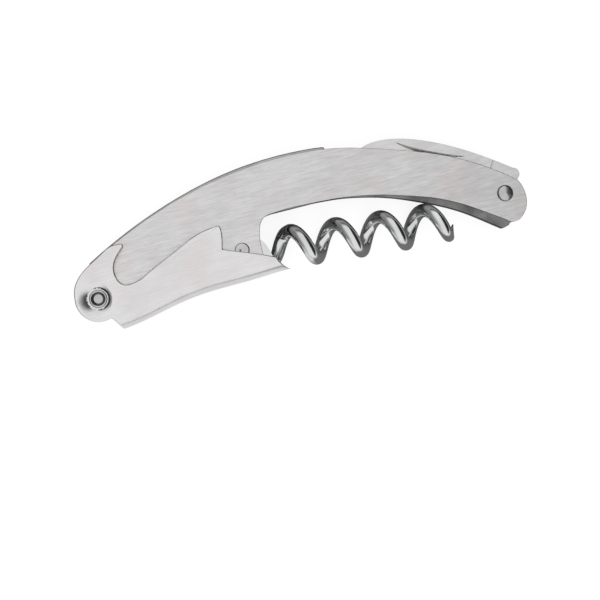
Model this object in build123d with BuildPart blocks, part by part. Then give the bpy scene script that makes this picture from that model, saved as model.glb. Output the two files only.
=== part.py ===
from build123d import *
import os
from math import cos, radians, sin

# A stainless steel waiter's corkscrew, folded: two curved side plates, a channel-shaped lever
# with a cap lifter, a wire worm and a foil knife on a slip-joint spring.
#
# It lies flat. X runs along the tool from the lever rivet to the knife rivet, Y runs across it
# towards the curved back, and Z is up through the layers. Outlines are drawn with the lever
# rivet at their zero; the model's origin is the middle of its footprint, at its lowest point.

# ---- Driving dimensions, millimetres and degrees ----------------------------------------------
PIVOT_SPAN = 101.7  # lever rivet to knife rivet
WORM_PIVOT_X = 35.3  # worm rivet, from the lever rivet
WORM_PIVOT_Y = 2.6
PLATE_CREST = 21.7  # highest point of the side plates above the lever rivet
CHANNEL_DROP = 8.25  # lowest point of the lever's back below its rivet

# layers, from the middle out
LAYER_T = 2.2  # spine spacer and spring
PLATE_T = 1.0
WALL_GAP = 0.85  # plate to the lever's wall
LEVER_T = 0.9  # lever sheet
BLADE_T = 1.7
SHANK_T = 1.9

# side plates
PLATE_HEAD_R = 4.4  # end of the plates, inside the lever's head
EAR_CORNER_R = 2.0

# spine spacer and spring
SPINE_PROUD = 0.7  # spacer's edge above the plates
SLOT_SPARE = 6.5  # the knife slot starts this far left of the blade's tip
SPRING_ROOT_X = 43.6
SPRING_ROOT_H = 6.4
SPRING_PIN_REACHES = (4.0, 11.0)  # pins from the left end of the root
SPRING_PROUD = 0.15  # root of the spring below the plates' arch
SPACER_GAP = 0.4  # spacer to spring
NOSE_GAP = 0.25  # spring to the knife's tang

# knife
BLADE_REACH = 34.2  # tip of the blade, left of its rivet
TANG_R = 4.4
TANG_CORNER = 5.35  # reach of the tang's corner past the rivet
EDGE_T = 0.3  # what the grinding leaves at the edge
EDGE_BEVEL_W = 0.85
NICK_SAGITTA = 0.45  # upper edge of the nail nick
NICK_W = 0.95
NICK_DEPTH = 0.5  # along its steep upper edge; it slopes up to nothing at the lower one
GROOVE_W = 0.35  # line across the blade where its grinding starts
GROOVE_DEPTH = 0.18

# lever
HEAD_R = 5.3
DISH_R = 4.15  # mouth of the pressed dish round the rivet
DISH_SHIFT = 0.85  # the mouth lies this much nearer the end than the rivet
DISH_LIP = 0.2  # the dish is this shallow at its first third
DISH_FLOOR_R = 2.3
BEND_CREASE = 0.03  # the walls are pressed this much flatter than the bend
DISH_WALL = 0.35  # the boss inside is this much wider than the dish
BEARING_GAP = 0.05  # boss to plate
TIP_REACH = 46.3  # tip of the lever, from its rivet

# worm
WIRE_D = 3.3
COIL_R = 3.7  # wire centre to worm axis
PITCH = 11.15
FIRST_TOP = 12.2  # first full top, along the worm's axis from its rivet
TIP_SPARE = 12.7  # the worm ends this far left of the knife's rivet
TAPER_TURNS = 0.5
TIP_D = 0.35
AXIS_TILT = 5.67  # the worm's axis dips this much from the tool's line
AXIS_DROP = 0.76  # the axis passes this far below the rivet
EYE_R = 3.3
NECK_W = 2.9

# rivets and pins
LEVER_RIVET_R = 1.55
LEVER_RIM_R = 2.1
LEVER_RIM_SUNK = 0.05  # rim below the lever's wall
LEVER_CUP_R = 1.5
LEVER_CUP_FLOOR_R = 1.05
LEVER_CUP_DEPTH = 0.85
WORM_RIVET_R = 1.2
WORM_HEAD_R = 1.75
WORM_HEAD_T = 0.42
BLADE_RIVET_R = 1.2
BLADE_HEAD_R = 2.0
BLADE_HEAD_T = 0.88
PIN_R = 1.2
RUN_CLEARANCE = 0.05  # round a rivet, in what turns on it
SEAT_CLEARANCE = 0.01  # round a rivet or pin, in what it holds fast

# ---- Values worked out from them --------------------------------------------------------------
PLATE_IN = LAYER_T / 2
PLATE_OUT = PLATE_IN + PLATE_T
WALL_IN = PLATE_OUT + WALL_GAP
WALL_OUT = WALL_IN + LEVER_T
BOSS_FACE = PLATE_OUT + BEARING_GAP
DISH_FLOOR = BOSS_FACE + LEVER_T
WIRE_R = WIRE_D / 2
WORM_OUTER_R = COIL_R + WIRE_R
COIL_TURNS = (PIVOT_SPAN - WORM_PIVOT_X - TIP_SPARE - FIRST_TOP) / PITCH  # first top to the tip
STEP_X = PIVOT_SPAN - BLADE_REACH - SLOT_SPARE  # square end of the spacer

PIVOT_X = (HEAD_R - PIVOT_SPAN - TANG_CORNER) / 2
PIVOT_Y = (CHANNEL_DROP - PLATE_CREST - SPINE_PROUD) / 2
MID_Z = WORM_OUTER_R


def layer(height):
    """The plane at a height above the tool's middle, with its zero at the lever rivet."""
    return Plane(origin=(PIVOT_X, PIVOT_Y, MID_Z + height))


def upright(spot):
    """The upright plane through a rivet: X across it, Y up along its centre line."""
    centre = (PIVOT_X + spot[0], PIVOT_Y + spot[1], MID_Z)
    return Plane(origin=centre, x_dir=(1, 0, 0), z_dir=(0, -1, 0))


def by_knife(dx, dy):
    """A point measured from the knife rivet."""
    return (PIVOT_SPAN + dx, dy)


def by_worm(dx, dy):
    """A point measured from the worm rivet."""
    return (WORM_PIVOT_X + dx, WORM_PIVOT_Y + dy)


def on_circle(radius, angle, centre=(0.0, 0.0)):
    """A point on a circle, the angle in degrees from +X."""
    return (centre[0] + radius * cos(radians(angle)), centre[1] + radius * sin(radians(angle)))


LEVER_PIVOT = (0.0, 0.0)
WORM_PIVOT = by_worm(0, 0)
BLADE_PIVOT = by_knife(0, 0)

# ---- Side plates ------------------------------------------------------------------------------
BACK_LEFT = (0.1, 8.3)
CREST = (50.0, PLATE_CREST)
HEAD_START = on_circle(PLATE_HEAD_R, 140)
HEAD_SIDE = on_circle(PLATE_HEAD_R, 205)
HEAD_END = on_circle(PLATE_HEAD_R, -90)
ARCH_LEFT = by_worm(8.3, 6.6)
ARCH_TOP = (53.2, 9.4)
ROOT_LOW = ARCH_TOP[1] - SPRING_PROUD
ROOT_TOP = ROOT_LOW + SPRING_ROOT_H
SPACER_LOW = ROOT_TOP + SPACER_GAP
SPINE_PINS = [
    (14.5, 10.2), by_worm(2.7, EYE_R + 10.6), (STEP_X - 5.5, (SPACER_LOW + PLATE_CREST) / 2)
]
SPRING_PINS = [
    (SPRING_ROOT_X + reach, ROOT_LOW + SPRING_ROOT_H / 2) for reach in SPRING_PIN_REACHES
]


def draw_plate_outline():
    """The outline both side plates share."""
    ear_side = by_worm(4.65, -4.0 + EAR_CORNER_R)
    ear_foot = by_worm(4.65 - EAR_CORNER_R, -4.0)
    heel = by_knife(-1.3, -6.3)
    toe = by_knife(2.8, -6.6)
    shoulder = by_knife(4.1, 2.35)
    Line(BACK_LEFT, HEAD_START)
    ThreePointArc(HEAD_START, HEAD_SIDE, HEAD_END)
    Line(HEAD_END, ear_foot)
    RadiusArc(ear_foot, ear_side, -EAR_CORNER_R)
    Spline(ear_side, by_worm(5.3, 3.6), ARCH_LEFT, tangents=[(0, 1), (1, 0.12)])
    Spline(
        ARCH_LEFT, ARCH_TOP, (66.4, 8.2), by_knife(-22.8, 5.0), by_knife(-15.0, 2.1), heel,
        tangents=[(1, 0.12), (1, -0.66)],
    )
    ThreePointArc(heel, by_knife(0.8, -7.3), toe)
    Spline(toe, by_knife(4.95, -3.4), by_knife(5.05, -0.2), shoulder)
    Spline(
        shoulder, by_knife(-1.7, 6.7), by_knife(-10.6, 11.8), by_knife(-25.8, 17.4),
        (60.9, PLATE_CREST - 0.6), CREST, (37.0, PLATE_CREST - 1.0), (24.2, 18.0), (9.0, 12.5),
        BACK_LEFT,
    )


PLATE_HOLES = [
    (LEVER_PIVOT, LEVER_RIVET_R), (WORM_PIVOT, WORM_RIVET_R), (BLADE_PIVOT, BLADE_RIVET_R),
    *[(spot, PIN_R) for spot in SPINE_PINS + SPRING_PINS],
]


def cut_seats(holes):
    """Cut the holes that hold rivets and pins fast in the sketch being drawn."""
    for spot, radius in holes:
        with Locations(spot):
            Circle(radius + SEAT_CLEARANCE, mode=Mode.SUBTRACT)


with BuildPart() as front_plate:
    with BuildSketch(layer(PLATE_IN)):
        with BuildLine():
            draw_plate_outline()
        make_face()
        cut_seats(PLATE_HOLES)
    extrude(amount=PLATE_T)

with BuildPart() as rear_plate:
    with BuildSketch(layer(-PLATE_IN)):
        with BuildLine():
            draw_plate_outline()
        make_face()
        cut_seats(PLATE_HOLES)
    extrude(amount=-PLATE_T)

# ---- Spine spacer: the middle layer of the left half ------------------------------------------
SPINE_LEFT = (0.2, 8.2 + SPINE_PROUD / 2)
SPINE_RIGHT = by_knife(-25.8, 17.4 + SPINE_PROUD)  # the top edge runs on to here, past the step
POCKET_LEFT = -EYE_R - 3.5  # side of the space the worm's eye turns in, from its rivet

with BuildPart() as spine_spacer:
    with BuildSketch(layer(-PLATE_IN)):
        with BuildLine():
            Line(SPINE_LEFT, HEAD_START)
            ThreePointArc(HEAD_START, HEAD_SIDE, HEAD_END)
            Line(HEAD_END, by_worm(POCKET_LEFT, -5.5))
            Line(by_worm(POCKET_LEFT, -5.5), by_worm(POCKET_LEFT, 3.0))
            Spline(
                by_worm(POCKET_LEFT, 3.0), by_worm(-2.6, EYE_R + 5.2),
                (SPRING_ROOT_X + 3.0, SPACER_LOW), tangents=[(0, 1), (1, 0)],
            )
            Line((SPRING_ROOT_X + 3.0, SPACER_LOW), (SPINE_RIGHT[0], SPACER_LOW))
            Line((SPINE_RIGHT[0], SPACER_LOW), SPINE_RIGHT)
            Spline(
                SPINE_RIGHT, (60.9, PLATE_CREST + SPINE_PROUD - 0.6),
                (50.0, PLATE_CREST + SPINE_PROUD), (37.0, PLATE_CREST + SPINE_PROUD - 1.0),
                (24.2, 17.8 + SPINE_PROUD), (9.0, 12.55 + SPINE_PROUD / 2), SPINE_LEFT,
            )
        make_face()
        # the square step
        with Locations((STEP_X, 0)):
            Rectangle(
                2 * PIVOT_SPAN, 2 * PIVOT_SPAN, align=(Align.MAX, Align.CENTER),
                mode=Mode.INTERSECT,
            )
        cut_seats([(LEVER_PIVOT, LEVER_RIVET_R), *[(spot, PIN_R) for spot in SPINE_PINS]])
    extrude(amount=LAYER_T)

# ---- Blade spring: the middle layer under the knife -------------------------------------------
NOSE_R = TANG_R + NOSE_GAP
NOSE_RIGHT = on_circle(NOSE_R, -88, BLADE_PIVOT)
NOSE_MIDDLE = on_circle(NOSE_R, -108, BLADE_PIVOT)
NOSE_LEFT = on_circle(NOSE_R, -130, BLADE_PIVOT)

with BuildPart() as blade_spring:
    with BuildSketch(layer(-PLATE_IN)):
        with BuildLine():
            Line((SPRING_ROOT_X, ROOT_LOW), (SPRING_ROOT_X, ROOT_TOP))
            Line((SPRING_ROOT_X, ROOT_TOP), (STEP_X - 1.0, ROOT_TOP))
            Spline(
                (STEP_X - 1.0, ROOT_TOP), by_knife(-32.2, 12.4), by_knife(-17.2, 5.9),
                by_knife(-8.6, 0.6), NOSE_LEFT, tangents=[(1, -0.1), (1, -1.0)],
            )
            ThreePointArc(NOSE_LEFT, NOSE_MIDDLE, NOSE_RIGHT)
            Polyline(NOSE_RIGHT, by_knife(0.1, -7.0), by_knife(-0.7, -7.8), by_knife(-2.3, -8.2))
            Spline(
                by_knife(-2.3, -8.2), by_knife(-11.3, -1.7), by_knife(-21.3, 3.35),
                by_knife(-28.3, 6.1), by_knife(-37.7, 8.4), by_knife(-46.7, ROOT_LOW),
                tangents=[(-1, 0.72), (-1, 0)],
            )
            Line(by_knife(-46.7, ROOT_LOW), (SPRING_ROOT_X, ROOT_LOW))
        make_face()
        cut_seats([(spot, PIN_R) for spot in SPRING_PINS])
    extrude(amount=LAYER_T)

# ---- Flush pins -------------------------------------------------------------------------------
with BuildPart() as spine_pins:
    with BuildSketch(layer(-PLATE_OUT)):
        with Locations(*SPINE_PINS):
            Circle(PIN_R)
    extrude(amount=2 * PLATE_OUT)

with BuildPart() as spring_pins:
    with BuildSketch(layer(-PLATE_OUT)):
        with Locations(*SPRING_PINS):
            Circle(PIN_R)
    extrude(amount=2 * PLATE_OUT)

# ---- Lever ------------------------------------------------------------------------------------
# Stations along the rounded back: distance from the rivet, bottom of the back, start of the bend.
BACK_STATIONS = [
    (-HEAD_R - 1.0, -CHANNEL_DROP + 0.2, -6.2),
    (2.0, -CHANNEL_DROP - 0.05, -4.4),
    (8.0, -CHANNEL_DROP + 0.5, -2.0),
    (16.0, -6.15, -1.5),
    (28.0, -4.85, -1.6),
    (TIP_REACH - 5.0, -4.55, -1.5),
    (TIP_REACH + 1.0, -4.7, -1.45),
]


def draw_channel(bottom, bend, half_width, top):
    """A U section: straight walls, then half an ellipse for the back."""
    Line((-half_width, bend), (-half_width, top))
    Line((-half_width, top), (half_width, top))
    Line((half_width, top), (half_width, bend))
    EllipticalCenterArc((0, bend), half_width, bend - bottom, start_angle=180, arc_size=180)


with BuildPart() as lever:
    # the channel: an outer bar less an inner bar, both with the rounded back
    for half_width, sheet, top, mode in (
        (WALL_OUT + BEND_CREASE, 0.0, 14.0, Mode.ADD), (WALL_IN, LEVER_T, 15.0, Mode.SUBTRACT)
    ):
        for station, bottom, bend in BACK_STATIONS:
            across = Plane(
                origin=(PIVOT_X + station, PIVOT_Y, MID_Z), x_dir=(0, 0, -1), z_dir=(1, 0, 0)
            )
            with BuildSketch(across):
                with BuildLine():
                    draw_channel(bottom + sheet, bend, half_width, top)
                make_face()
        loft(mode=mode)
    # the boss that bears on each plate
    for side in (1, -1):
        with BuildSketch(layer(side * WALL_IN)):
            with Locations((-DISH_SHIFT, 0)):
                Circle(DISH_R + DISH_WALL)
        with BuildSketch(layer(side * BOSS_FACE)):
            Circle(DISH_FLOOR_R + DISH_WALL)
        loft()
    # the side outline: head, hook, mouth, fin, notch and tip
    with BuildSketch(layer(-WALL_OUT)):
        with BuildLine():
            hook_tip = (8.5, 10.2)
            fin_foot = (19.6, 6.1)
            fin_tip = (31.2, 9.6)
            notch = (30.7, 3.9)
            prong = (TIP_REACH - 3.7, -1.0)
            tip = (TIP_REACH, -4.62)
            Spline(
                on_circle(HEAD_R, 172), (-4.7, 3.5), (-3.0, 5.9), (3.0, 9.7), (6.2, 11.1),
                (7.6, 11.05), hook_tip,
                tangents=[(0.05, 1), (-0.2, -1)],
            )
            Spline(
                hook_tip, (5.5, 6.8), (5.1, 4.4), (6.7, 1.6), (9.8, 1.75), fin_foot,
                tangents=[(-0.9, -0.8), (1, 0.43)],
            )
            Spline(fin_foot, (26.4, 8.9), fin_tip, tangents=[(1, 0.43), (1, 0.1)])
            Spline(fin_tip, (31.5, 7.6), notch, tangents=[(0.6, -0.8), (-0.25, -1)])
            Spline(notch, (36.8, 1.5), prong, tangents=[(1, -0.44), (1, -0.46)])
            Spline(
                prong, (TIP_REACH - 2.8, -2.85), (TIP_REACH - 1.8, -3.85), tip,
                tangents=[(0.1, -1), (1, -0.2)],
            )
            Polyline(
                tip, (TIP_REACH, -CHANNEL_DROP - 2.0), (5.2, -CHANNEL_DROP - 2.0),
                (1.8, -4.95), on_circle(HEAD_R, -78),
            )
            ThreePointArc(
                on_circle(HEAD_R, -78), on_circle(HEAD_R, -130), on_circle(HEAD_R, 172)
            )
        make_face()
    extrude(amount=2 * WALL_OUT, mode=Mode.INTERSECT)
    # the dish pressed in round the rivet: gentle at its lip, steep by its floor; and its hole
    for side in (1, -1):
        for height, radius, shift in (
            (WALL_OUT, DISH_R, DISH_SHIFT),
            (WALL_OUT - DISH_LIP, DISH_R - (DISH_R - DISH_FLOOR_R) / 3, DISH_SHIFT * 2 / 3),
            (DISH_FLOOR, DISH_FLOOR_R, 0),
        ):
            with BuildSketch(layer(side * height)):
                with Locations((-shift, 0)):
                    Circle(radius)
        loft(mode=Mode.SUBTRACT)
    with BuildSketch(layer(-WALL_OUT)):
        Circle(LEVER_RIVET_R + RUN_CLEARANCE)
    extrude(amount=2 * WALL_OUT, mode=Mode.SUBTRACT)

# ---- Knife ------------------------------------------------------------------------------------
BLADE_TIP = by_knife(-BLADE_REACH, 17.9)
EDGE_START = by_knife(-5.1, 4.2)
EDGE_MIDDLE = by_knife(-18.1, 11.1)
NICK_START = by_knife(-23.0, 18.5)
NICK_END = by_knife(-7.2, 11.3)
TANG_SIDE = on_circle(TANG_R, 26, BLADE_PIVOT)
TANG_KICK = on_circle(TANG_R, 180, BLADE_PIVOT)

with BuildPart() as blade:
    with BuildSketch(layer(-BLADE_T / 2)):
        with BuildLine():
            corner_top = by_knife(TANG_CORNER - 1.2, 5.6)
            corner_side = by_knife(TANG_CORNER - 0.15, 3.4)
            Spline(
                BLADE_TIP, by_knife(-31.2, 19.6), by_knife(-25.7, 19.95), by_knife(-15.9, 17.3),
                by_knife(-6.7, 12.75), corner_top,
            )
            ThreePointArc(corner_top, by_knife(TANG_CORNER, 4.4), corner_side)
            Line(corner_side, TANG_SIDE)
            ThreePointArc(TANG_SIDE, on_circle(TANG_R, -80, BLADE_PIVOT), TANG_KICK)
            Polyline(TANG_KICK, by_knife(-5.2, 1.1), EDGE_START)
            Spline(EDGE_START, EDGE_MIDDLE, BLADE_TIP)
        make_face()
        with Locations(BLADE_PIVOT):
            Circle(BLADE_RIVET_R + RUN_CLEARANCE, mode=Mode.SUBTRACT)
    extrude(amount=BLADE_T)
    # the ground edge, on both faces
    for rank in (0, -1):
        flat = blade.faces().filter_by(Axis.Z).sort_by(Axis.Z)[rank]
        on_edge = layer(flat.center().Z - MID_Z).from_local_coords((*EDGE_MIDDLE, 0))
        rim = flat.edges().sort_by_distance(on_edge)[0]
        chamfer(rim, EDGE_BEVEL_W, (BLADE_T - EDGE_T) / 2, reference=flat)
    # the nail nick: a crescent, steep above and sloping out below
    for height, width in ((BLADE_T / 2, NICK_W), (BLADE_T / 2 - NICK_DEPTH, NICK_W / 6)):
        with BuildSketch(layer(height)):
            with BuildLine():
                SagittaArc(NICK_START, NICK_END, -NICK_SAGITTA)
                SagittaArc(NICK_START, NICK_END, -NICK_SAGITTA - width)
            make_face()
    loft(mode=Mode.SUBTRACT)
    # the line across each face where the grinding starts
    for side in (1, -1):
        with BuildSketch(layer(side * BLADE_T / 2)):
            with Locations(by_knife(-1.4, 6.9)):
                Rectangle(GROOVE_W, 3 * TANG_R, rotation=-36)
        extrude(amount=-side * GROOVE_DEPTH, mode=Mode.SUBTRACT)

# ---- Worm -------------------------------------------------------------------------------------
# Its own plane has X along the axis and Y across it; angles are zero at the first full top.
worm_plane = Plane(
    origin=layer(0).from_local_coords((*WORM_PIVOT, 0)),
    x_dir=(cos(radians(-AXIS_TILT)), sin(radians(-AXIS_TILT)), 0),
    z_dir=(0, 0, 1),
)
ROOT_START = -200  # the flat neck ends here
ROOT_SECTIONS = 8
COIL_END = 360 * (COIL_TURNS - TAPER_TURNS)


def smooth(share):
    """Ease from 0 to 1 with no corner at either end."""
    share = max(0.0, min(1.0, share))
    return share * share * (3 - 2 * share)


def wire_spot(angle):
    """The wire's centre, in the worm's plane: it swings out of the flat neck into the coil."""
    out = smooth((angle + 270) / 270) ** 1.5
    lift = 0.85 + 0.15 * smooth((angle + 180) / 180)
    return Vector(
        FIRST_TOP + PITCH * angle / 360,
        -AXIS_DROP + COIL_R * lift * cos(radians(angle)),
        COIL_R * out * sin(radians(angle)),
    )


def in_worm_plane(direction):
    """A direction given in the worm's plane, turned to the tool's."""
    return worm_plane.from_local_coords(direction) - worm_plane.origin


def wire_plane(angle):
    """The plane square to the wire, its X as near to the tool's Z as can be."""
    ahead = (wire_spot(angle + 0.02) - wire_spot(angle - 0.02)).normalized()
    up = Vector(0, 0, 1)
    across = (up - ahead * up.dot(ahead)).normalized()
    centre = worm_plane.from_local_coords(wire_spot(angle))
    return Plane(origin=centre, x_dir=in_worm_plane(across), z_dir=in_worm_plane(ahead))


def helix_from(angle, turns):
    """A stretch of the coil's centre line."""
    spot = worm_plane.from_local_coords((FIRST_TOP + PITCH * angle / 360, -AXIS_DROP, 0))
    out = in_worm_plane((0, cos(radians(angle)), sin(radians(angle))))
    start = Plane(origin=spot, x_dir=out, z_dir=worm_plane.x_dir)
    return start * Helix(PITCH, PITCH * turns, COIL_R)


coil_path = helix_from(0, COIL_TURNS - TAPER_TURNS)
tip_path = helix_from(COIL_END, TAPER_TURNS)

with BuildPart() as worm:
    # flat shank: an eye, and a neck that curves down to the wire
    neck_end = wire_spot(ROOT_START)
    with BuildSketch(worm_plane.offset(-SHANK_T / 2)):
        Circle(EYE_R)
        with BuildLine():
            Spline((1.3, 1.5), (3.7, 1.0), (5.2, -1.2), (neck_end.X, neck_end.Y))
        trace(line_width=NECK_W)
        Circle(WORM_RIVET_R + RUN_CLEARANCE, mode=Mode.SUBTRACT)
    extrude(amount=SHANK_T)
    # root: the neck's section swells into the round wire
    for step in range(ROOT_SECTIONS):
        grown = smooth(step / 6)
        half_thick = SHANK_T / 2 + (WIRE_R * 0.98 - SHANK_T / 2) * grown
        half_wide = NECK_W / 2 + (WIRE_R - NECK_W / 2) * grown
        with BuildSketch(wire_plane(ROOT_START * (1 - step / ROOT_SECTIONS))):
            Ellipse(half_thick, half_wide)
    with BuildSketch(wire_plane(0)):
        Circle(WIRE_R)
    loft()
    # coil
    with BuildSketch(wire_plane(0)):
        Circle(WIRE_R)
    sweep(path=coil_path, is_frenet=True)
    # needle tip, ground away more and more over the last half turn
    for share in (0, 0.5, 1):
        with BuildSketch(Plane(origin=tip_path @ share, z_dir=tip_path % share)):
            Circle((TIP_D + (WIRE_D - TIP_D) * (1 - share * share)) / 2)
    sweep(path=tip_path, multisection=True, is_frenet=True)

# ---- Rivets -----------------------------------------------------------------------------------
with BuildPart() as lever_rivet:
    with BuildSketch(upright(LEVER_PIVOT)):
        with BuildLine():
            under_rim = DISH_FLOOR + RUN_CLEARANCE
            rim_top = WALL_OUT - LEVER_RIM_SUNK
            roll = (LEVER_RIM_R - LEVER_CUP_R) / 2
            Polyline(
                (0, 0), (LEVER_RIVET_R, 0), (LEVER_RIVET_R, under_rim), (LEVER_RIM_R, under_rim),
                (LEVER_RIM_R, rim_top - roll),
            )
            ThreePointArc(
                (LEVER_RIM_R, rim_top - roll), (LEVER_RIM_R - roll, rim_top),
                (LEVER_CUP_R, rim_top - roll),
            )
            Polyline(
                (LEVER_CUP_R, rim_top - roll), (LEVER_CUP_FLOOR_R, rim_top - LEVER_CUP_DEPTH),
                (0, rim_top - LEVER_CUP_DEPTH + 0.15), (0, 0),
            )
        make_face()
    revolve(axis=Axis(upright(LEVER_PIVOT).origin, (0, 0, 1)))
    mirror(about=layer(0))

with BuildPart() as worm_rivet:
    with BuildSketch(upright(WORM_PIVOT)):
        with BuildLine():
            Polyline(
                (0, 0), (WORM_RIVET_R, 0), (WORM_RIVET_R, PLATE_OUT), (WORM_HEAD_R, PLATE_OUT),
                (WORM_HEAD_R, PLATE_OUT + WORM_HEAD_T / 2),
            )
            Spline(
                (WORM_HEAD_R, PLATE_OUT + WORM_HEAD_T / 2),
                (WORM_HEAD_R * 0.62, PLATE_OUT + WORM_HEAD_T),
                (WORM_HEAD_R * 0.3, PLATE_OUT + WORM_HEAD_T * 0.8),
                (0, PLATE_OUT + WORM_HEAD_T * 0.6), tangents=[(-0.5, 1), (-1, 0)],
            )
            Line((0, PLATE_OUT + WORM_HEAD_T * 0.6), (0, 0))
        make_face()
    revolve(axis=Axis(upright(WORM_PIVOT).origin, (0, 0, 1)))
    mirror(about=layer(0))

with BuildPart() as blade_rivet:
    with BuildSketch(upright(BLADE_PIVOT)):
        with BuildLine():
            brim = PLATE_OUT + BLADE_HEAD_T * 0.3
            crown = PLATE_OUT + BLADE_HEAD_T
            Polyline(
                (0, 0), (BLADE_RIVET_R, 0), (BLADE_RIVET_R, PLATE_OUT), (BLADE_HEAD_R, PLATE_OUT),
                (BLADE_HEAD_R, brim),
            )
            Spline(
                (BLADE_HEAD_R, brim), (BLADE_HEAD_R * 0.6, crown - 0.16),
                (0.45, crown - 0.05), (0, crown), tangents=[(-0.3, 1), (-1, 0.1)],
            )
            Line((0, crown), (0, 0))
        make_face()
    revolve(axis=Axis(upright(BLADE_PIVOT).origin, (0, 0, 1)))
    mirror(about=layer(0))

# ---- Files ------------------------------------------------------------------------------------
pieces = {
    "front_plate": front_plate,
    "rear_plate": rear_plate,
    "spine_spacer": spine_spacer,
    "blade_spring": blade_spring,
    "spine_pins": spine_pins,
    "spring_pins": spring_pins,
    "lever": lever,
    "lever_rivet": lever_rivet,
    "worm": worm,
    "worm_rivet": worm_rivet,
    "blade": blade,
    "blade_rivet": blade_rivet,
}
os.makedirs("parts", exist_ok=True)
for name, piece in pieces.items():
    piece.part.label = name
    export_step(piece.part, f"parts/{name}.step")
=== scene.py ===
# %% [markdown]
# # A waiter's corkscrew
# The tool lies folded on its side: two curved side plates hold a wire worm, a foil knife and a
# lever that is one folded steel channel. The CAD parts already have their true shapes, so this
# script gives them rounded edges, metal finishes, a floor, light and a camera.
# Everything is in metres, in the same frame as the CAD.

import math

import bmesh
import bpy
from mathutils import Matrix, Vector


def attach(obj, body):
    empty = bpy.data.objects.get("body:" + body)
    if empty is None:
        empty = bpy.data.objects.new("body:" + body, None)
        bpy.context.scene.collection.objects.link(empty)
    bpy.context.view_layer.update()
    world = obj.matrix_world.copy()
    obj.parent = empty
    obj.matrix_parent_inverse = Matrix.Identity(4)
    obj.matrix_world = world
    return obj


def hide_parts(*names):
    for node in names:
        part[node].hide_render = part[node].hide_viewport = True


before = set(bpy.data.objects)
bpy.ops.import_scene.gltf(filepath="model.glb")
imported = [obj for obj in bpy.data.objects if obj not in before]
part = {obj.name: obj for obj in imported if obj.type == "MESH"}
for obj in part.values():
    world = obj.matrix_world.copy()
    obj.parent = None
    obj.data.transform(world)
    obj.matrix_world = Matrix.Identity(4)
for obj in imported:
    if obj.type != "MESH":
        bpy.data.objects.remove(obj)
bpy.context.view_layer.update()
MM = 0.001
print("nodes:", ", ".join(sorted(part)))

# %% [markdown]
# ## Where things are
# The side plates' long line runs along X, from the lever's pivot on the left to the knife's
# pivot on the right. Measuring every place from the lever's pivot, in millimetres, keeps the
# numbers close to what a maker would read off the tool with a caliper. The rounded edges and
# the camera use these places again.

# %% Shared places
PIVOT_X = -50.875 * MM
PIVOT_Y = -7.075 * MM
MID_Z = 5.35 * MM
PIVOT_SPAN = 101.7  # in millimetres, as on_tool takes it


def on_tool(x, y, z=0.0):
    """A point given in millimetres from the lever's pivot, in the shared frame."""
    return Vector((PIVOT_X + x * MM, PIVOT_Y + y * MM, MID_Z + z * MM))


lever_pivot = on_tool(0.0, 0.0)
knife_pivot = on_tool(PIVOT_SPAN, 0.0)
print("lever's pivot at", [round(v, 5) for v in lever_pivot])
print("knife's pivot at", [round(v, 5) for v in knife_pivot])

# %% [markdown]
# ## Rounded edges
# Real stamped steel never has a perfectly sharp edge: tumbling rounds it, and that thin strip is
# what catches the light or turns dark. The CAD mesh of each sheet part is loose triangles, so it
# is copied, its triangles are joined, its flat faces are merged, and then the Bevel operator
# rounds the edges as real geometry. The rounded copy stands for the CAD part from then on.
# Only long runs of edges are rounded: the round holes for rivets and pins stay sharp, because a
# pin that is ground flush has no groove around it.

# %% Helper: which edges are rounded
SHARP = math.radians(35)
SHORTEST_RUN = 12 * MM


def is_sharp(edge):
    """Whether two faces meet here at a real corner, not on a curved wall."""
    return edge.is_manifold and edge.calc_face_angle(0.0) > SHARP


def long_runs(edges, least):
    """The edges that belong to connected runs at least this long."""
    waiting = set(edges)
    kept = []
    while waiting:
        run = [waiting.pop()]
        for edge in run:
            for corner in edge.verts:
                for near in corner.link_edges:
                    if near in waiting:
                        waiting.remove(near)
                        run.append(near)
        if sum(edge.calc_length() for edge in run) >= least:
            kept += run
    return kept


print("rounded: runs of at least", round(SHORTEST_RUN / MM), "mm")

# %% Helper: a rounded copy of a CAD part
SAME_PLACE = 1e-7  # corners closer than this are one corner
STILL_FLAT = math.radians(0.3)  # faces that turn less than this are one flat face
TOO_SHORT = 5e-5  # edges shorter than this are dropped
ON_CUT = 2e-6  # corners this close to a cut count as on it


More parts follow.
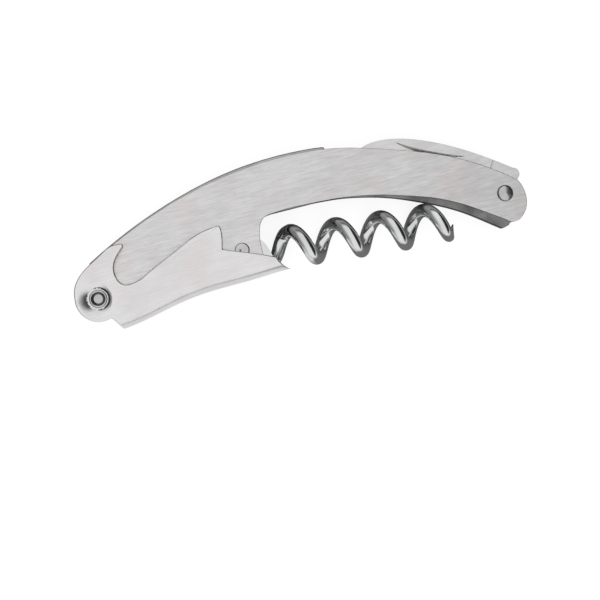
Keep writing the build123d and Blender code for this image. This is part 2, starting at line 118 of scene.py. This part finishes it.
def rounded_copy(name, body, width, segments):
    """A copy of a CAD part with its long sharp edges rounded by a width in metres."""
    steel = bmesh.new()
    steel.from_mesh(part[name].data)
    bmesh.ops.remove_doubles(steel, verts=steel.verts, dist=SAME_PLACE)
    bmesh.ops.dissolve_limit(
        steel, angle_limit=STILL_FLAT, verts=steel.verts, edges=steel.edges
    )
    bmesh.ops.dissolve_degenerate(steel, dist=TOO_SHORT, edges=steel.edges)
    # two cuts through the lever's pivot, so that no flat face has to wrap round the dish
    for across in ((1.0, 0.0, 0.0), (0.0, 1.0, 0.0)):
        bmesh.ops.bisect_plane(
            steel, geom=steel.verts[:] + steel.edges[:] + steel.faces[:], dist=ON_CUT,
            plane_co=lever_pivot, plane_no=across,
        )
    chosen = long_runs([edge for edge in steel.edges if is_sharp(edge)], SHORTEST_RUN)
    bmesh.ops.bevel(
        steel, geom=chosen, offset=width, offset_type="OFFSET", segments=segments, profile=0.5,
        affect="EDGES", clamp_overlap=False, material=-1,
    )
    for face in steel.faces:
        face.smooth = True
    for edge in steel.edges:
        edge.smooth = not is_sharp(edge)
    mesh = bpy.data.meshes.new(name + "_rounded")
    steel.to_mesh(mesh)
    steel.free()
    piece = bpy.data.objects.new(name + "_rounded", mesh)
    bpy.context.scene.collection.objects.link(piece)
    even = piece.modifiers.new("even_shading", "WEIGHTED_NORMAL")
    even.keep_sharp = True
    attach(piece, body)
    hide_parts(name)
    print(name, "rounded by", round(width / MM, 2), "mm along", len(chosen), "edges,",
          len(mesh.polygons), "faces")
    return piece


# %% [markdown]
# ### How far each sheet is rounded
# The plates and the blade are stamped and ground, so their edges stay crisp. The spacer's
# back is worn round where it lies in the hand, and the lever's edges are softened so that they
# don't cut a finger. The widths could be one number for all, but the light shows the difference.

# %% Sheet parts with rounded edges, widths in millimetres
rounded = {
    name: rounded_copy(name, body, width * MM, segments)
    for name, body, slot, width, segments in (
        ("front_plate", "frame", "plate_steel", 0.16, 3),
        ("rear_plate", "frame", "plate_steel", 0.16, 3),
        ("spine_spacer", "frame", "spacer_steel", 0.45, 4),
        ("blade_spring", "frame", "spring_steel", 0.2, 2),
        ("lever", "lever", "lever_steel", 0.3, 4),
        ("blade", "blade", "blade_steel", 0.08, 2),
    )
}

# %% [markdown]
# ## Finishes
# All the metal is stainless steel. What changes from piece to piece is how it was finished:
# brushed plates, a satin lever, a polished worm; the spacer, the spring and the walls of the
# rivets' rings are also coloured darker as painted shade. Each finish is a Principled shader with
# procedural noise for the brushing lines, faint colour patches and small changes of gloss.
# A picture of steel could be wrapped round each piece instead, but noise has no seams and
# stays sharp at any size. A few helpers keep the node trees short enough to read.

# %% Helper: nodes and joins


def add(tree, kind, **settings):
    """A new node with its settings."""
    node = tree.nodes.new(kind)
    for key, value in settings.items():
        setattr(node, key, value)
    return node


def feed(tree, socket, value):
    """Join an output to a socket, or set the socket to a number or a colour."""
    if isinstance(value, bpy.types.NodeSocket):
        tree.links.new(value, socket)
    elif isinstance(value, tuple):
        socket.default_value = (*value, 1.0)
    else:
        socket.default_value = value


def combine(tree, operation, *values):
    """One step of arithmetic on numbers and outputs."""
    node = add(tree, "ShaderNodeMath", operation=operation)
    for socket, value in zip(node.inputs, values):
        feed(tree, socket, value)
    return node.outputs[0]


def remap(tree, value, low, high, start=0.0, end=1.0, curve="LINEAR"):
    """Turn the range low to high of a value into start to end."""
    node = add(tree, "ShaderNodeMapRange", interpolation_type=curve)
    for name, number in (("From Min", low), ("From Max", high), ("To Min", start), ("To Max", end)):
        node.inputs[name].default_value = number
    feed(tree, node.inputs["Value"], value)
    return node.outputs["Result"]


def soften(tree, value, low, high, start=0.0, end=1.0):
    """The same with soft ends, for light that fades in and out."""
    return remap(tree, value, low, high, start, end, "SMOOTHSTEP")


# %% Helper: patterns
COLOUR_FACTOR, COLOUR_A, COLOUR_B, COLOUR_RESULT = 0, 6, 7, 2  # a Mix node's colour sockets


def noise(tree, vector, scale, detail, roughness):
    """Cloudy grey between 0 and 1; detail adds finer clouds, and roughness makes them stronger."""
    node = add(tree, "ShaderNodeTexNoise")
    node.inputs["Scale"].default_value = scale
    node.inputs["Detail"].default_value = detail
    node.inputs["Roughness"].default_value = roughness
    feed(tree, node.inputs["Vector"], vector)
    return node.outputs["Fac"]


def blend_colours(tree, factor, first, second):
    """The first colour where the factor is 0, the second where it is 1."""
    node = add(tree, "ShaderNodeMix", data_type="RGBA")
    feed(tree, node.inputs[COLOUR_FACTOR], factor)
    feed(tree, node.inputs[COLOUR_A], first)
    feed(tree, node.inputs[COLOUR_B], second)
    return node.outputs[COLOUR_RESULT]


def object_space(tree, scale=(1.0, 1.0, 1.0), location=(0.0, 0.0, 0.0)):
    """Object coordinates, moved and stretched: brushing runs along the smallest scale."""
    mapping = add(tree, "ShaderNodeMapping")
    mapping.inputs["Scale"].default_value = scale
    mapping.inputs["Location"].default_value = location
    source = add(tree, "ShaderNodeTexCoord")
    feed(tree, mapping.inputs["Vector"], source.outputs["Object"])
    return mapping.outputs["Vector"]


# %% [markdown]
# ### Brushed steel
# A belt leaves thousands of short scratches along one direction. Noise that is drawn out along X
# and packed tight across it gives those lines: it drives a shallow bump, and lightly the colour
# and the gloss. Broad, soft noise adds the cloudy patches and the faint warm tint that steel shows.
# Real grooves would need millions of faces, and at this depth nobody could tell them apart.

# %% Helper: one brushed steel
BRUSHED_ALONG_X = (260.0, 3300.0, 3300.0)
CLOUD_SCALE = 130.0
TINT_SCALE = 85.0
TINT_PLACE = (0.7, 0.3, 0.1)  # any place away from the clouds' own noise
WARM_COVER = 0.8
SCRATCH_GREY = (0.33, 0.33, 0.33)
SCRATCH_COVER = 0.16
SCRATCH_STRENGTH = 0.35
SCRATCH_DEPTH = 0.00002
LEANS_OVER, LIES_FLAT = 0.50, 0.93  # how much of the surface's direction points along Z
STEEL_IOR = 2.5


def brushed_steel(name, light, dark, warm, rough, grain, along=BRUSHED_ALONG_X, painted_wall_shade=None):
    """A steel finish. Where a wall colour is given, walls that stand up take it as painted shade.
    """
    material = bpy.data.materials.new(name)
    material.use_nodes = True
    tree = material.node_tree
    tree.nodes.clear()
    shader = add(tree, "ShaderNodeBsdfPrincipled")
    feed(tree, add(tree, "ShaderNodeOutputMaterial").inputs["Surface"], shader.outputs["BSDF"])

    lines = noise(tree, object_space(tree, along), scale=1.0, detail=4.0, roughness=0.6)
    clouds = noise(tree, object_space(tree), CLOUD_SCALE, detail=3.0, roughness=0.55)
    tint_space = object_space(tree, location=TINT_PLACE)
    tint = noise(tree, tint_space, TINT_SCALE, detail=2.0, roughness=0.5)
    colour = blend_colours(tree, remap(tree, clouds, 0.35, 0.65), dark, light)
    warmth = remap(tree, tint, 0.52, 0.75, end=WARM_COVER)
    colour = blend_colours(tree, warmth, colour, warm)
    scratched = remap(tree, lines, 0.3, 0.75, end=SCRATCH_COVER * grain)
    colour = blend_colours(tree, scratched, colour, SCRATCH_GREY)
    # walls that stand up take the painted shade colour, darkest where they stand straight
    if painted_wall_shade is not None:
        facing = add(tree, "ShaderNodeSeparateXYZ")
        feed(tree, facing.inputs[0], add(tree, "ShaderNodeTexCoord").outputs["Normal"])
        upright = combine(tree, "ABSOLUTE", facing.outputs["Z"])
        colour = blend_colours(tree, remap(tree, upright, LEANS_OVER, LIES_FLAT), painted_wall_shade, colour)
    feed(tree, shader.inputs["Base Color"], colour)

    gloss = remap(tree, lines, 0.3, 0.7, rough - 0.05, rough + 0.07)
    feed(tree, shader.inputs["Roughness"], gloss)
    relief = add(tree, "ShaderNodeBump")
    relief.inputs["Strength"].default_value = SCRATCH_STRENGTH * grain
    relief.inputs["Distance"].default_value = SCRATCH_DEPTH
    feed(tree, relief.inputs["Height"], lines)
    feed(tree, shader.inputs["Normal"], relief.outputs["Normal"])
    shader.inputs["Metallic"].default_value = 1.0
    shader.inputs["IOR"].default_value = STEEL_IOR
    print(name, "with", len(tree.nodes), "nodes")
    return material


# %% [markdown]
# ### Plates
# The two side plates are belt-brushed along their length. Of the broad faces they are the
# coarsest, so they have the strongest lines and the widest highlights.

# %% Plate finish
plate_finish = brushed_steel(
    "brushed_plate_steel", light=(0.74, 0.73, 0.73), dark=(0.69, 0.675, 0.68),
    warm=(0.72, 0.66, 0.665), rough=0.32, grain=1.9,
)

# %% [markdown]
# ### Lever
# The lever is folded from polished sheet and then drawn once over a fine belt: a satin face,
# glossier and a little lighter than the plates beside it.

# %% Lever finish
lever_finish = brushed_steel(
    "satin_lever_steel", light=(0.76, 0.75, 0.75), dark=(0.70, 0.685, 0.69),
    warm=(0.73, 0.665, 0.67), rough=0.20, grain=0.7,
)

# %% [markdown]
# ### Knife
# The knife is ground on a fine wheel, which leaves faint marks. The noise is packed less tightly
# across the blade than on the plates, so its lines come out broader and softer.

# %% Blade finish
blade_finish = brushed_steel(
    "ground_blade_steel", light=(0.73, 0.725, 0.725), dark=(0.68, 0.67, 0.67),
    warm=(0.70, 0.67, 0.67), rough=0.28, grain=0.35, along=(240.0, 900.0, 900.0),
)

# %% [markdown]
# ### Spacer and spring
# Only the sawn edges of these two show, between the plates, and both are coloured darker than
# the plates as painted shade for the narrow gap there; the spring is near black. The spacer's
# edge is worn smooth. The spring's edge keeps its saw marks, which run across it, so its noise
# is drawn out along Z.

# %% Spacer and spring finishes
# the spacer's grey, darker than the plates, is painted shade for the gap between the plates
spacer_finish_painted_dark = brushed_steel(
    "spacer_steel", light=(0.50, 0.50, 0.50), dark=(0.36, 0.36, 0.36),
    warm=(0.44, 0.42, 0.42), rough=0.30, grain=0.8,
)
# the spring's near-black colour is painted shadow under the front plate's edge
spring_finish_painted_dark = brushed_steel(
    "sawn_spring_steel_painted_shade", light=(0.34, 0.34, 0.34), dark=(0.10, 0.10, 0.10),
    warm=(0.26, 0.24, 0.24), rough=0.38, grain=2.2, along=(1500.0, 1500.0, 300.0),
)

# %% [markdown]
# ### Rivets
# A rivet is hammered or rolled, so it has no brushing direction. The walls of its rings face
# each other and lie in shade, and they look almost black: this finish paints that shade, going
# dark where the surface leans away from Z. The flush pins are ground with the plates and share
# their finish.

# %% Rivet finish
rivet_finish = brushed_steel(
    "rivet_steel", light=(0.60, 0.595, 0.595), dark=(0.42, 0.415, 0.415),
    warm=(0.52, 0.50, 0.50), rough=0.20, grain=0.9, along=(900.0, 900.0, 900.0),
    # the almost black colour is painted shade on the walls of the rings
    painted_wall_shade=(0.08, 0.08, 0.08),
)

# %% [markdown]
# ### Worm
# The worm is polished so that it slides into cork. It is the glossiest piece, with hardly any
# lines, and what it looks like is mostly what stands around it.

# %% Worm finish
worm_finish = brushed_steel(
    "polished_worm_steel", light=(0.76, 0.765, 0.77), dark=(0.62, 0.625, 0.63),
    warm=(0.70, 0.70, 0.70), rough=0.11, grain=0.3, along=(500.0, 500.0, 500.0),
)

# %% [markdown]
# ### Which piece has which finish
# The CAD parts come with a plain material in a slot of their own. Swapping the material in the
# slot leaves the part's mesh alone, and a rounded copy is given the same finish as its part.

# %% Give the pieces their finishes
FINISH_OF = {
    "front_plate": plate_finish,
    "rear_plate": plate_finish,
    "spine_spacer": spacer_finish_painted_dark,
    "blade_spring": spring_finish_painted_dark,
    "spine_pins": plate_finish,
    "spring_pins": plate_finish,
    "lever": lever_finish,
    "lever_rivet": rivet_finish,
    "worm": worm_finish,
    "worm_rivet": rivet_finish,
    "blade": blade_finish,
    "blade_rivet": rivet_finish,
}
for name, finish in FINISH_OF.items():
    for row in part[name].material_slots:
        row.material = finish
    if name in rounded:
        rounded[name].data.materials.append(finish)
    print(name, "->", finish.name)

# %% [markdown]
# ## Floor
# The tool lies on a flat sheet, a hair below it so that the two faces don't flicker. The sheet
# itself is grey, and it glows for the camera, so that the tool stands on white while the glow
# puts no light on it. Mirrors see the sheet as a dark card, which draws the dark flanks of the
# worm, except for one patch in front of the lever that glows for mirrors only: a painted
# reflection, as of white paper, that shows in the lever's rounded back. One white floor for all
# rays would be simpler, but the flanks of the worm would fade into it.

# %% Floor sheet
FLOOR_Z = -0.00002
FLOOR_HALF = 1.5
floor_mesh = bpy.data.meshes.new("floor")
sheet = bmesh.new()
bmesh.ops.create_grid(sheet, x_segments=1, y_segments=1, size=FLOOR_HALF)
bmesh.ops.translate(sheet, verts=sheet.verts, vec=(0.0, 0.0, FLOOR_Z))
sheet.to_mesh(floor_mesh)
sheet.free()
floor = bpy.data.objects.new("floor", floor_mesh)
bpy.context.scene.collection.objects.link(floor)
print("floor at z", FLOOR_Z)

# %% Floor finish
FLOOR_GREY = (0.28, 0.28, 0.28)
CAMERA_GLOW = 0.86
CARD_GLOW = 0.02
# glow of the painted reflection patch, seen only by mirrors
PAINTED_REFLECTION_GLOW = 0.7

floor_finish = bpy.data.materials.new("pale_floor")
floor_finish.use_nodes = True
tree = floor_finish.node_tree
tree.nodes.clear()
spot = add(tree, "ShaderNodeSeparateXYZ")
feed(tree, spot.inputs[0], add(tree, "ShaderNodeTexCoord").outputs["Object"])
# the patch in front of the lever that glows only for mirrors, a painted reflection
left_part = soften(tree, spot.outputs["X"], 4 * MM, -8 * MM)
front_part = soften(tree, spot.outputs["Y"], -8 * MM, -15 * MM)
painted_reflection_patch = combine(tree, "MULTIPLY", left_part, front_part)

rays = add(tree, "ShaderNodeLightPath")
reflected = combine(tree, "MULTIPLY_ADD", painted_reflection_patch, PAINTED_REFLECTION_GLOW, CARD_GLOW)
reflected = combine(tree, "MULTIPLY", rays.outputs["Is Glossy Ray"], reflected)
strength = combine(tree, "MULTIPLY_ADD", rays.outputs["Is Camera Ray"], CAMERA_GLOW, reflected)

matt = add(tree, "ShaderNodeBsdfDiffuse")
feed(tree, matt.inputs["Color"], FLOOR_GREY)
glow = add(tree, "ShaderNodeEmission")
feed(tree, glow.inputs["Strength"], strength)
both = add(tree, "ShaderNodeAddShader")
feed(tree, both.inputs[0], matt.outputs[0])
feed(tree, both.inputs[1], glow.outputs[0])
feed(tree, add(tree, "ShaderNodeOutputMaterial").inputs["Surface"], both.outputs[0])
floor_mesh.materials.append(floor_finish)
print("floor glows", CAMERA_GLOW, "for the camera and", CARD_GLOW, "for mirrors")

# %% [markdown]
# ## Light
# Polished metal only looks like metal when it has something dark to reflect. The studio is
# painted on the world: a white ceiling, a dimmer band round the horizon, a soft box in front
# and a black card on the right, as one would set round a table. Lamps could do the same, but
# they leave hard spots on a polished worm, and a painted world fades softly between its parts.
# The camera sees plain white behind the tool.

# %% Studio world
world = bpy.data.worlds.new("studio")
bpy.context.scene.world = world
world.use_nodes = True
tree = world.node_tree
tree.nodes.clear()
direction = add(tree, "ShaderNodeSeparateXYZ")
feed(tree, direction.inputs[0], add(tree, "ShaderNodeTexCoord").outputs["Generated"])
along_x, along_y, up = (direction.outputs[i] for i in range(3))

# %% Ceiling, horizon and floor line
# brightness, where 1 is white; the ranges below are parts of a direction of length 1
HORIZON_LEFT, HORIZON_RIGHT = 0.44, 0.16
FLOOR_LINE = 0.42
horizon = soften(tree, along_x, -0.45, -0.10, HORIZON_LEFT, HORIZON_RIGHT)
low_line = soften(tree, up, 0.28, 0.14)
band = combine(tree, "MAXIMUM", horizon, combine(tree, "MULTIPLY", low_line, FLOOR_LINE))
high = soften(tree, up, 0.30, 0.64)
below = combine(tree, "SUBTRACT", 1.0, high)
ceiling = combine(tree, "ADD", high, combine(tree, "MULTIPLY", band, below))

# %% Soft box, black card and left wall
CARD_BLACKNESS = 0.96
LEFT_WALL = 0.62
# the soft box is long, and low enough for the lever's rounded back
front_box = combine(
    tree, "MULTIPLY", soften(tree, along_y, -0.22, -0.50), soften(tree, up, 0.00, 0.16, 0.50, 1.02)
)
# the black card stops above the floor line
above_line = combine(tree, "SUBTRACT", 1.0, low_line)
card = combine(tree, "MULTIPLY", soften(tree, along_x, 0.38, 0.54), above_line)
past_card = combine(tree, "SUBTRACT", 1.0, combine(tree, "MULTIPLY", card, CARD_BLACKNESS))
left_wall = soften(tree, along_x, -0.80, -0.40, LEFT_WALL, 1.0)
walls = combine(tree, "MULTIPLY", past_card, left_wall)
studio = combine(tree, "MULTIPLY", combine(tree, "MAXIMUM", ceiling, front_box), walls)

# %% White behind the tool, for the camera
seen = add(tree, "ShaderNodeLightPath").outputs["Is Camera Ray"]
sky = add(tree, "ShaderNodeBackground")
feed(tree, sky.inputs["Color"], (1.0, 1.0, 1.0))
feed(tree, sky.inputs["Strength"], combine(tree, "MAXIMUM", studio, seen))
feed(tree, add(tree, "ShaderNodeOutputWorld").inputs["Surface"], sky.outputs[0])
print("studio world with", len(tree.nodes), "nodes")

# %% [markdown]
# ## Camera
# The camera looks down on the tool from about 28 cm, a little from the left, so that the lever's
# end looks larger and the far edges of the plates show their thickness. It could be aimed with
# a Track To constraint; three directions and a place say the same in plain numbers.

# %% Camera
CAMERA_AT = on_tool(0.3047, -7.4846, 276.2114)
RIGHT = Vector((0.95294, -0.25624, 0.16198))
UP = Vector((0.25557, 0.96646, 0.02531))
BACKWARD = Vector((-0.16303, 0.01728, 0.98647))
lens = bpy.data.cameras.new("camera")
lens.lens = 70.157  # focal length in millimetres, as for a short portrait lens
lens.sensor_width = 36.0
lens.clip_start = 0.01
lens.clip_end = 10.0
camera = bpy.data.objects.new("camera", lens)
turn = Matrix((RIGHT, UP, BACKWARD)).transposed()
camera.matrix_world = Matrix.Translation(CAMERA_AT) @ turn.to_4x4()
bpy.context.scene.collection.objects.link(camera)
bpy.context.scene.camera = camera
print("camera at", [round(v, 4) for v in camera.location])

bpy.context.scene.view_settings.view_transform = "Standard"
